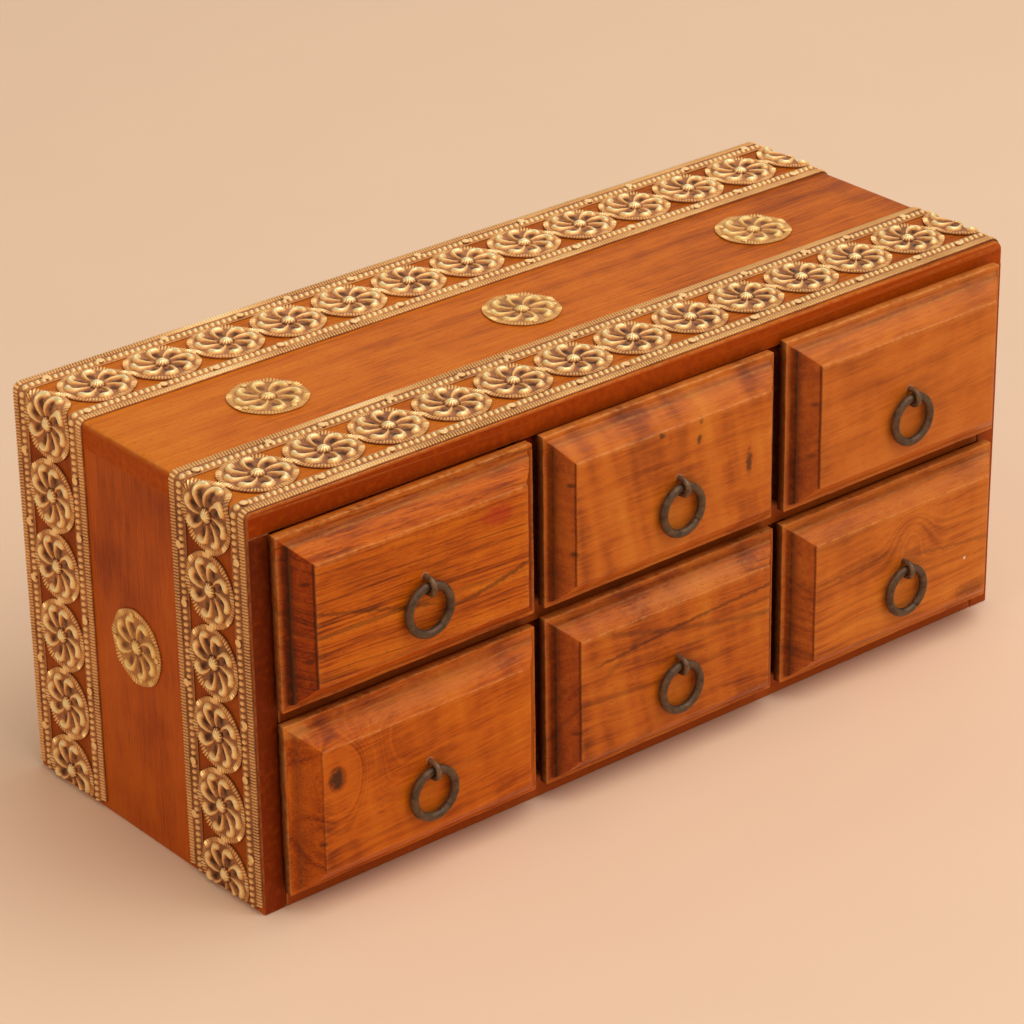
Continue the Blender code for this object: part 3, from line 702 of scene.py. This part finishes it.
def tubeShell(path, radius, sides):
    # a circle carried along a path that stays in one plane of constant X
    tangent = np.gradient(path, axis=0)
    tangent /= np.linalg.norm(tangent, axis=1, keepdims=True)
    out = np.stack([0 * tangent[:, 0], -tangent[:, 2], tangent[:, 1]], -1)
    turn = circle(sides)[None, :, None]
    across = np.array([1, 0, 0])
    return closedShell(path[:, None] + radius * (np.cos(turn) * out[:, None] + np.sin(turn) * across))


def eyePath(middleX, axisY, axisZ, bowRadius):
    # a staple: clenched end, bend, leg, half circle round the ring's wire, leg, bend, end
    p = pullShape
    turn = np.linspace(np.pi / 2, 3 * np.pi / 2, 24)
    bow = bowRadius * np.stack([np.cos(turn), np.sin(turn)], -1)
    bendY = tongueBack + chest.seam + p.eyeWire / 2 - p.eyeBend - axisY
    quarter = np.linspace(0, -np.pi / 2, 8)
    bend = p.eyeBend * np.stack([np.cos(quarter), 1 + np.sin(quarter)], -1) + (bendY, bowRadius)
    leg = join([[(bendY + p.eyeBend, bowRadius + p.legLength)], bend])
    flat = join([leg, bow, (leg * (1, -1))[::-1]])
    return np.stack([0 * flat[:, 0] + middleX, axisY + flat[:, 0], axisZ + flat[:, 1]], -1)


def ringGrid(middleX, axisY, axisZ, seam, seed):
    # a torus hung from its top, its wire slightly hammered, with a notch where the ends meet
    p = pullShape
    radius = (p.ringOut - p.ringWire) / 2
    turn, around = circle(p.ringSteps)[:, None], circle(p.ringSides)[None, :]
    dents = ripple(6 * np.sin(turn), 5 * np.cos(turn) + 2 * np.cos(around), seed)
    wire = p.ringWire / 2 * (1 + p.hammered * dents)
    if seam is not None:
        away = (turn - np.radians(seam) + np.pi) % (2 * np.pi) - np.pi
        wire = wire * (1 - p.notchDepth * bell(away * radius, 0, p.notchWidth))
    reach = radius + wire * np.cos(around)
    return np.stack([middleX + reach * np.cos(turn), axisY + wire * np.sin(around) + 0 * turn,
                     axisZ - radius + reach * np.sin(turn)], -1)


def addPulls():
    p = pullShape
    bowRadius = p.ringWire / 2 + p.play + p.eyeWire / 2
    axisY = fieldPlane - p.ringWire / 2 - p.fieldGap
    for seed, (name, middleX, middleZ) in enumerate(drawerPlaces(), 1):
        axisZ = middleZ + p.eyeUp
        node = name + "_drawer"
        eye = tubeShell(eyePath(middleX, axisY, axisZ, bowRadius), p.eyeThick / 2, p.eyeSides)
        makePiece(node + "_eye_wire", eye, eyeIron, node, [node + "_eye"])
        ring = ringShell(ringGrid(middleX, axisY, axisZ, ringSeams.get(name), seed))
        makePiece(node + "_ring_wire", ring, ringIron, node + "_ring", [node + "_ring"])


addPulls()
print("ring pulls made")


# Brass straps and medallions; a nail is its two half sizes, its rise and its lift

rosetteShape = Values(
    radius=9.8, petals=8, hub=1.8, knob=1.05, stemEnd=5.5, hookRadius=1.75, hookTurn=135, rim=8.3,
    sheet=0.42, notches=72, hubRibs=12, spokes=144)
strapShape = Values(
    pitch=19.95, drop=5.7, half=15.15, railIn=9.45, beadRow=1.66, bandIn=3.5, foot=1.2, margin=0.4,
    beadPitch=1.8, hatchPitch=0.86, sideSlant=-0.16, topSlant=0.32, slantSpan=9, sideRub=0.69, rubSpan=8,
    stripThick=0.34, grainHalf=0.72, grainRise=0.62, bandThick=0.3, ribRise=0.5, waver=0.07, nailWander=2.5,
    nail=(1.15, 1.15, 0.25, 0.75), plate=(1.3, 0.9, 0.35, 0.6))
medallionShape = Values(
    diameter=20.5, shift=-1.5, flat=0.75, spin=0.7, nailReach=8.9, nailAngles=(0.3, 1.7, 3.4, 4.9),
    nail=(0.8, 0.8, 0.25, 0.6))
# two sides and the top, less what the two bends cut off
strapLength = 2 * chestTop + chest.length - (leftBend + rightBend) * (2 - np.pi / 2)


def strapPlace(s, w, h, line):
    # s runs up the left side, over the top and down the right, w across the strap, h out from the wood;
    # line is the strap's middle at the left end and its drift from there to the right end
    left, right, half, high = leftBend, rightBend, halfLong, chestTop
    ends = np.cumsum([high - left, left * np.pi / 2, 2 * half - left - right, right * np.pi / 2])
    turnL, turnR = (s - ends[0]) / left, (s - ends[2]) / right
    zones = [s < end for end in ends]
    x = np.select(zones, [-half - h, left - half - (left + h) * np.cos(turnL), left - half + s - ends[1],
                          half - right + (right + h) * np.sin(turnR)], half + h)
    z = np.select(zones, [s, high - left + (left + h) * np.sin(turnL), high + h,
                          high - right + (right + h) * np.cos(turnR)], high - right - (s - ends[3]))
    drift = line[1] * unit((s - ends[1]) / (ends[2] - ends[1]))
    return np.stack([x, line[0] + drift + w + 0 * x, z], -1)


def petalLine():
    # a cane along its petal's direction: a stem out from the hub, then a clockwise bend
    r = rosetteShape
    stem = np.linspace(0, 1, 18)
    bend = np.linspace(0, np.radians(r.hookTurn), 30)[1:]
    out = join([r.hub + (r.stemEnd - r.hub) * stem,
                r.stemEnd + r.hookRadius * np.sin(bend)])
    across = join([1.4 * (stem - 1) * stem, r.hookRadius * (1 - np.cos(bend))])
    k = np.linspace(0, 1, len(out))
    width = np.interp(k, [0, 0.3, 0.5, 0.75, 0.92, 1], [0.28, 0.46, 0.68, 0.92, 1.02, 0.9])
    crest = np.interp(k, [0, 0.3, 0.6, 0.9, 1], [0.3, 0.8, 1, 1.15, 1])
    return out, across, width, crest


def petalShare(angle):
    # how far round from one petal's stem to the next, clockwise, from 0 to 1
    return (-angle * rosetteShape.petals / (2 * np.pi)) % 1


def rosetteRelief(radius, angle):
    # height and tone: a domed hub in a ribbed skirt, hooked ridges by their distance from the cane line,
    # the dark hollow inside each hook, and a rim with tufts of fine ribs between the hooks' heads
    r = rosetteShape
    out, across, width, crest = petalLine()
    x, y = radius * np.cos(angle), radius * np.sin(angle)
    rise = hollow = np.zeros(x.shape)
    for turn in circle(r.petals):
        c, s = np.cos(turn), np.sin(turn)
        along, aside = x * c + y * s, x * s - y * c  # the petal's own axes: outwards and clockwise
        gap = np.hypot(along[..., None] - out, aside[..., None] - across)
        rise = np.maximum(rise, (crest * unit(1 - (gap / width) ** 2) ** 0.6).max(-1))
        hollow = np.maximum(hollow, bell(along, 5, 1.5) * bell(aside, 1.5, 0.7))
    share = petalShare(angle)
    tuft = bell(abs((share - 0.37) % 1 - 0.5), 0, 0.19)
    head = bell(share, 0.45, 0.16)
    comb = 0.5 + 0.5 * np.cos(r.notches * angle)
    outer = unit((radius - r.rim) / 0.5)
    border = outer * (0.05 + comb * (0.15 + 0.42 * tuft)) + 0.25 * head * bell(radius, 9.1, 0.45)
    skirt = unit((r.hub - radius) / 0.7)
    ribs = np.cos(r.hubRibs * angle) * unit(radius / 0.75 - 1) * (skirt > 0)
    knob = np.sqrt(unit(1 - (radius / r.knob) ** 2))
    hub = (skirt > 0) * (0.35 + 0.5 * skirt ** 0.7 + 0.5 * knob + 0.14 * ribs)
    shape = np.maximum(np.maximum(rise, border), hub)
    height = r.sheet - 0.2 * hollow * (rise < 0.1) + shape
    tone = 0.2 - 0.3 * hollow * (rise < 0.2) + 0.8 * unit(shape / 1.08) ** 1.25
    tone = tone - 0.3 * bell(radius, 2.05, 0.22) + outer * (comb * (0.25 + 0.4 * tuft) - 0.08)
    return height, unit(tone + 0.3 * ribs)


def rosetteOutline(angle, before, after):
    # a circle with eight low lobes and fine notches, cut across the strap behind and ahead of the hub
    r = rosetteShape
    ahead = np.cos(angle)
    cut = np.minimum(before / np.maximum(-ahead, 1e-3), after / np.maximum(ahead, 1e-3))
    lobes = 0.07 * np.cos(2 * np.pi * (petalShare(angle) - 0.7))
    return np.minimum(r.radius + 0.12 + lobes + 0.09 * np.cos(r.notches * angle), cut)


def rosetteGrid(before=np.inf, after=np.inf):
    # a disc in polar rows that reach the outline's radius, then its wall and its underside
    angle = circle(rosetteShape.spokes)[None, :]
    rows = np.array([0.3, 0.65, 0.95, 1.2, 1.45, 1.75, 2.05, 2.45, 2.9, 3.4, 3.9, 4.4, 4.85, 5.3, 5.7, 6.1,
                     6.5, 6.9, 7.3, 7.65, 8, 8.35, 8.7, 9.1, 9.6])
    reach = rosetteOutline(angle, before, after)
    radius = rows[:, None] / rows[-1] * reach
    height, tone = rosetteRelief(radius, angle)
    radius = join([radius, reach, reach * 0.99])
    height = join([height, 0 * reach + 0.3, 0 * reach])
    tone = join([tone, 0 * reach + 0.15, 0 * reach])
    return radius * np.cos(angle), radius * np.sin(angle), height, tone


def strapRosettes(line):
    # a row of rosettes at even steps, those at the strap's two ends cut straight
    p = strapShape
    end = strapLength - p.foot
    hubs = np.arange((chestTop - p.drop) % p.pitch, end, p.pitch)
    shells = []
    for hub in hubs:
        u, v, h, tone = rosetteGrid(hub - p.foot, end - hub)
        shells.append(closedShell(strapPlace(hub + u, v, h, line), relief=tone))
    return shells, hubs


def strapSlant(s):
    # how far a grain or a rib leans along the strap per millimetre across it
    p = strapShape
    return np.interp(s - chestTop, [-p.slantSpan, p.slantSpan], [p.sideSlant, p.topSlant])


def strapRub(s):
    # the rails are rubbed bright on the top and browner on the sides
    p = strapShape
    past = np.minimum(s, strapLength - s) + p.foot - chestTop
    return np.interp(past, [-p.rubSpan, p.rubSpan], [p.sideRub, 1])


def beadStrip(s, u, side):
    # a plain strip with a row of slanted grains, each an ellipsoid half out of the strip
    p = strapShape
    across = u - p.beadRow
    along = (s - side * strapSlant(s) * across) / p.beadPitch
    along = (along - np.floor(along) - 0.5) * p.beadPitch
    grains = np.sqrt(unit(1 - (along / p.grainHalf) ** 2 - across ** 2))
    return p.stripThick + p.grainRise * grains, (0.25 + 0.78 * grains + 0.25 * (u < 0.2)) * strapRub(s)


def stripShell(s, u, height, tone, side, line, seed):
    # a height field along the strap with two more columns that close its underside
    base = np.zeros((len(height), 2))
    s, u = (join([a, a[:, -1:], a[:, :1]], 1) for a in (s, u))
    w = side * (strapShape.railIn + u) + strapShape.waver * ripple(s * 0.09, 0, seed)
    grid = strapPlace(s, w, join([height, base], 1), line)
    return closedShell(grid, relief=join([tone, base], 1))


def railShells(side, line, seed):
    # the grain strip beside the rosettes, then a band of slanted ribs whose cuts are worn away in places;
    # each rib has four rows of points, from the cut before it to its crest and half way down
    p = strapShape
    first, last = p.foot, strapLength - p.foot
    u = np.linspace(0, p.bandIn, 15)[None, :]
    s = np.arange(first, last, p.beadPitch / 8)[:, None] + 0 * u
    beads = stripShell(s, u, *beadStrip(s, u, side), side, line, seed + 3)
    wide = p.half - p.railIn - p.bandIn
    u = p.bandIn + wide * np.array([[0, 0.06, 0.2, 0.45, 0.7, 0.86, 0.95, 1]])
    crown = np.array([[0, 0.75, 1, 1, 1, 0.95, 0.8, 0.4]])
    lean = p.topSlant * wide
    count = int((last - first - 2 * lean) / p.hatchPitch)
    step = (np.arange(count)[:, None] + np.array([0, 0.25, 0.5, 0.75])).reshape(-1, 1)
    s = first + lean + step * p.hatchPitch
    s = s + side * strapSlant(s) * (u - p.bandIn)
    worn = np.clip(0.8 + 0.5 * ripple(step * 0.05, 0, seed), 0.35, 1)
    rib = 1 - worn * np.tile([[1], [0.45], [0], [0.45]], (count, 1))
    height = p.bandThick + crown * (0.04 + p.ribRise * rib)
    tone = 0.06 + crown * 0.86 * rib * strapRub(s)
    return [beads, stripShell(s, u, height, tone, side, line, seed + 3)]


def nailShells(places, nail, put):
    # low oval heads with flat tops at places (s, w); put turns s, w and height into space
    long, wide, rise, lift = nail
    turn = circle(12)[None, :]
    reach = np.array([0.4, 0.72, 0.93, 1, 1])[:, None]
    h = lift + rise * np.array([1, 0.95, 0.7, 0.2, -1.5])[:, None] + 0 * turn
    tone = np.array([0.72, 0.75, 0.7, 0.25, 0.05])[:, None]
    u, v = long * reach * np.cos(turn), wide * reach * np.sin(turn)
    return [closedShell(put(s + u, w + v, h), relief=tone) for s, w in places]


def addBrass(name, shells, finish, node):
    makePiece(name, joinShells(shells), finish, "carcass", [node], brassCrease)


def addStraps():
    p = strapShape
    straps = (("front_brass_strap", -1, 1.2, 1, strapBrass), ("rear_brass_strap", 1, 0, 9, rearBrass))
    for name, side, drift, seed, finish in straps:
        line = (side * (halfDeep - p.margin - p.half), drift)
        shells, hubs = strapRosettes(line)
        addBrass(name + "_rosettes", shells, finish, name)
        gaps = hubs[:-1] + p.pitch / 2
        row = p.railIn + p.beadRow + 0.4
        places = []
        for label, edge in (("front", -1), ("rear", 1)):
            addBrass(f"{name}_{label}_rail", railShells(edge, line, seed + edge), finish, name)
            for k, gap in enumerate(gaps):
                along = gap + p.nailWander * np.sin(k * 2.1 + seed + edge)
                places.append((along, edge * (row + 0.5 * np.sin(k * 3.3 + seed))))

        def put(along, across, out):
            return strapPlace(along, across, out, line)
        nails = nailShells(places, p.nail, put) + nailShells([(gap, 0) for gap in gaps], p.plate, put)
        addBrass(name + "_nails", nails, finish, name)


def addMedallions():
    m = medallionShape
    scale = m.diameter / 2 / rosetteShape.radius
    # each middle, then the directions of the disc's two axes and of its face
    frames = {f"top_{column}_medallion": ((c * columnPitch + m.shift, 0, chestTop), *np.eye(3))
              for c, column in enumerate(columnNames, -1)}
    frames["left_side_medallion"] = ((-halfLong, 0, chestTop / 2), (0, 0, 1), (0, 1, 0), (-1, 0, 0))
    frames["right_side_medallion"] = ((halfLong, 0, chestTop / 2), (0, 0, -1), (0, 1, 0), (1, 0, 0))
    for k, (node, (middle, *axes)) in enumerate(frames.items()):
        def put(u, v, h):
            return np.stack([u, v, h], -1) @ np.array(axes, float) + np.array(middle)
        u, v, h, tone = rosetteGrid()
        c, s = np.cos(m.spin * k), np.sin(m.spin * k)
        disc = put((u * c - v * s) * scale, (u * s + v * c) * scale, h * m.flat)
        places = [m.nailReach * np.array([np.cos(a + k), np.sin(a + k)]) for a in m.nailAngles]
        nails = nailShells(places, m.nail, put)
        addBrass(node + "_disc", [closedShell(disc, relief=tone)] + nails, discBrass, node)


addStraps()
addMedallions()
print("brass made")


# Floor, light and camera

stageLook = Values(
    floorColour=(0.88, 0.62, 0.43), floorShade=(0.66, 0.45, 0.33), floorHalf=6000, floorDrop=0.05,
    worldColour=(1, 0.93, 0.84, 1), worldStrength=0.4, lightAim=(0, 0, 0.05))
lightLooks = dict(
    keyLight=dict(power=20.5, size=2, distance=1.6, direction=(0.28, -0.4, 0.87), colour=(1, 1, 1)),
    sideLight=dict(power=2.2, size=0.5, distance=1.3, direction=(-0.78, -0.3, 0.55), colour=(1, 0.8, 0.55)),
    rearLight=dict(power=2, size=1.2, distance=1.6, direction=(0.567, 0.692, 0.446),
                   colour=(1, 0.97, 0.92)))
viewpoint = Values(
    place=(-592.22, -715.7, 514.25), azimuth=-39.3275, elevation=26.4931, roll=-0.8489, focus=3869.05,
    pictureWidth=1024, sensor=36, clipEnd=50)


def addFloor():
    half, drop = stageLook.floorHalf * mm, stageLook.floorDrop * mm
    mesh = bpy.data.meshes.new("floor")
    corners = [(-half, -half, -drop), (half, -half, -drop), (half, half, -drop), (-half, half, -drop)]
    mesh.from_pydata(corners, [], [(0, 1, 2, 3)])
    finish, w, shader = newFinish("floorPaper")
    tone = w.place().noise(0.02, 3)
    colour = (tone * 0.12).tint(stageLook.floorColour, stageLook.floorShade)
    w.feed(shader, {"Base Color": colour, "Roughness": 0.85, "Specular IOR Level": 0.1})
    mesh.materials.append(finish)
    floor = bpy.data.objects.new("floor", mesh)
    scene.collection.objects.link(floor)


def addLights():
    world = bpy.data.worlds.new("studio")
    world.use_nodes = True
    sky = world.node_tree.nodes["Background"].inputs
    sky["Color"].default_value = stageLook.worldColour
    sky["Strength"].default_value = stageLook.worldStrength
    scene.world = world
    for name, look in lightLooks.items():
        lamp = bpy.data.lights.new(name, "AREA")
        lamp.shape = "DISK"
        lamp.size = look["size"]
        lamp.energy = look["power"]
        lamp.color = look["colour"]
        light = bpy.data.objects.new(name, lamp)
        direction = np.array(look["direction"])
        light.location = (direction * look["distance"] + stageLook.lightAim).tolist()
        light.rotation_euler = Vector(direction).to_track_quat("Z", "Y").to_euler()
        scene.collection.objects.link(light)


def addCamera():
    # rolled about its own axis, then lifted and turned to the measured elevation and azimuth
    v = viewpoint
    data = bpy.data.cameras.new("camera")
    data.sensor_width = v.sensor
    data.lens = v.focus / v.pictureWidth * v.sensor
    data.clip_end = v.clipEnd
    made = bpy.data.objects.new("camera", data)
    turns = (("Z", v.azimuth), ("X", 90 - v.elevation), ("Z", v.roll))
    made.matrix_world = Matrix.Translation(np.array(v.place) * mm)
    for axis, degrees in turns:
        made.matrix_world = made.matrix_world @ Matrix.Rotation(np.radians(degrees), 4, axis)
    scene.collection.objects.link(made)
    scene.camera = made


addFloor()
addLights()
addCamera()
print("stage ready")
